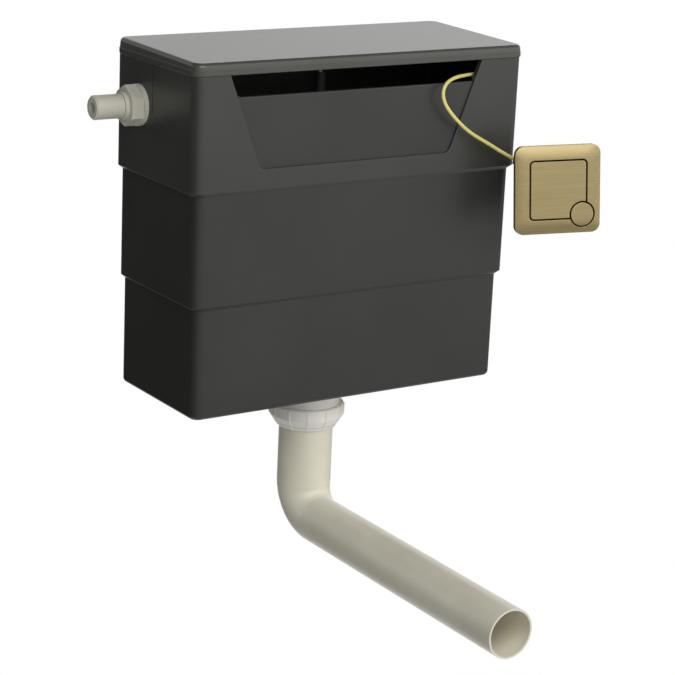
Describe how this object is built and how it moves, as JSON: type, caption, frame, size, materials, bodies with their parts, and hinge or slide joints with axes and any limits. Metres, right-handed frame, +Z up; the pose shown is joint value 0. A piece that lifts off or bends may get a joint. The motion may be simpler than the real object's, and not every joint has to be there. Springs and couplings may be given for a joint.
{
  "type": "concealed toilet cistern",
  "caption": "Slim black concealed cistern with lift-off lid, side inlet, float valve, flush valve, flush bend and a square brass dual flush plate on a cable.",
  "frame": {"origin": "midway between the two wall fixing holes, on the plane of the back", "axes": "+X to the right seen from the front, +Y into the wall, +Z up"},
  "size_m": [0.4273, 0.3852, 0.4639],
  "materials": {
    "black_plastic": "satin black moulding, faintly grained",
    "pipe_plastic": "cream white pipe",
    "nut_plastic": "white moulding",
    "inlet_plastic": "off-white moulding",
    "valve_plastic": "light grey moulding",
    "float_plastic": "dark grey foam-filled float",
    "seal_rubber": "matt black rubber",
    "cable_sheath": "pale yellow sheath",
    "brass": "brushed, lacquered",
    "housing_plastic": "black moulding",
    "steel": "bright drawn wire"
  },
  "bodies": {
    "cistern": {"tank_shell": "black_plastic", "inlet_lock_nut": "inlet_plastic", "inlet_washer": "seal_rubber", "inlet_shank": "inlet_plastic", "refill_tube": "valve_plastic", "fill_valve_diaphragm": "seal_rubber", "fill_valve_cap": "inlet_plastic", "float_pin": "steel", "outlet_base": "nut_plastic", "outlet_seal": "seal_rubber", "outlet_back_nut": "nut_plastic", "coupling_nut": "nut_plastic", "cone_seal": "seal_rubber", "flush_pipe": "pipe_plastic", "valve_tower": "valve_plastic", "cable_bracket": "valve_plastic", "cable_ferrule": "housing_plastic", "cable_inside": "cable_sheath", "cable_clip": "housing_plastic", "flush_cable": "cable_sheath", "faceplate": "brass", "button_housing": "housing_plastic", "housing_gasket": "seal_rubber", "full_spring": "steel", "half_spring": "steel", "cable_gland": "housing_plastic"},
    "lid": {"lid": "black_plastic"},
    "flush_valve": {"overflow_tube": "nut_plastic", "valve_disc": "nut_plastic", "lift_bar": "nut_plastic", "valve_seal": "seal_rubber", "lift_wire": "steel"},
    "float_lever": {"float_arm": "valve_plastic", "float": "float_plastic", "float_adjust_nut": "nut_plastic", "float_rod": "valve_plastic"},
    "full_flush": {"full_button": "brass", "full_stem": "valve_plastic"},
    "half_flush": {"half_button": "brass", "half_stem": "valve_plastic"},
    "slider": {"cable_slider": "valve_plastic", "slider_wire": "steel"}
  },
  "joints": [
    {"name": "lid_lift", "type": "slide", "parent": "cistern", "child": "lid", "axis": [0, 0, 1], "range_m": [0, 0.12]},
    {"name": "valve_lift", "type": "slide", "parent": "cistern", "child": "flush_valve", "axis": [0, 0, 1], "range_m": [0, 0.01]},
    {"name": "float_swing", "type": "hinge", "parent": "cistern", "child": "float_lever", "pos_m": [-0.11225, -0.0431, -0.0209], "axis": [0, -1, 0], "range_deg": [0, 20]},
    {"name": "full_press", "type": "slide", "parent": "cistern", "child": "full_flush", "axis": [0.3556, 0.9313, -0.0785], "range_m": [0, 0.005], "stiffness_N_per_m": 300, "springref_m": -0.004, "deforming": ["full_spring"]},
    {"name": "half_press", "type": "slide", "parent": "cistern", "child": "half_flush", "axis": [0.3556, 0.9313, -0.0785], "range_m": [0, 0.003], "stiffness_N_per_m": 250, "springref_m": -0.004, "deforming": ["half_spring"]},
    {"name": "slider_pull", "type": "slide", "parent": "cistern", "child": "slider", "axis": [0.8141, -0.3499, -0.4634], "range_m": [0, 0.01]}
  ],
  "couplings": [
    {"joint": "full_press", "follows": "valve_lift", "ratio": 0.5},
    {"joint": "slider_pull", "follows": "valve_lift", "ratio": 1}
  ]
}
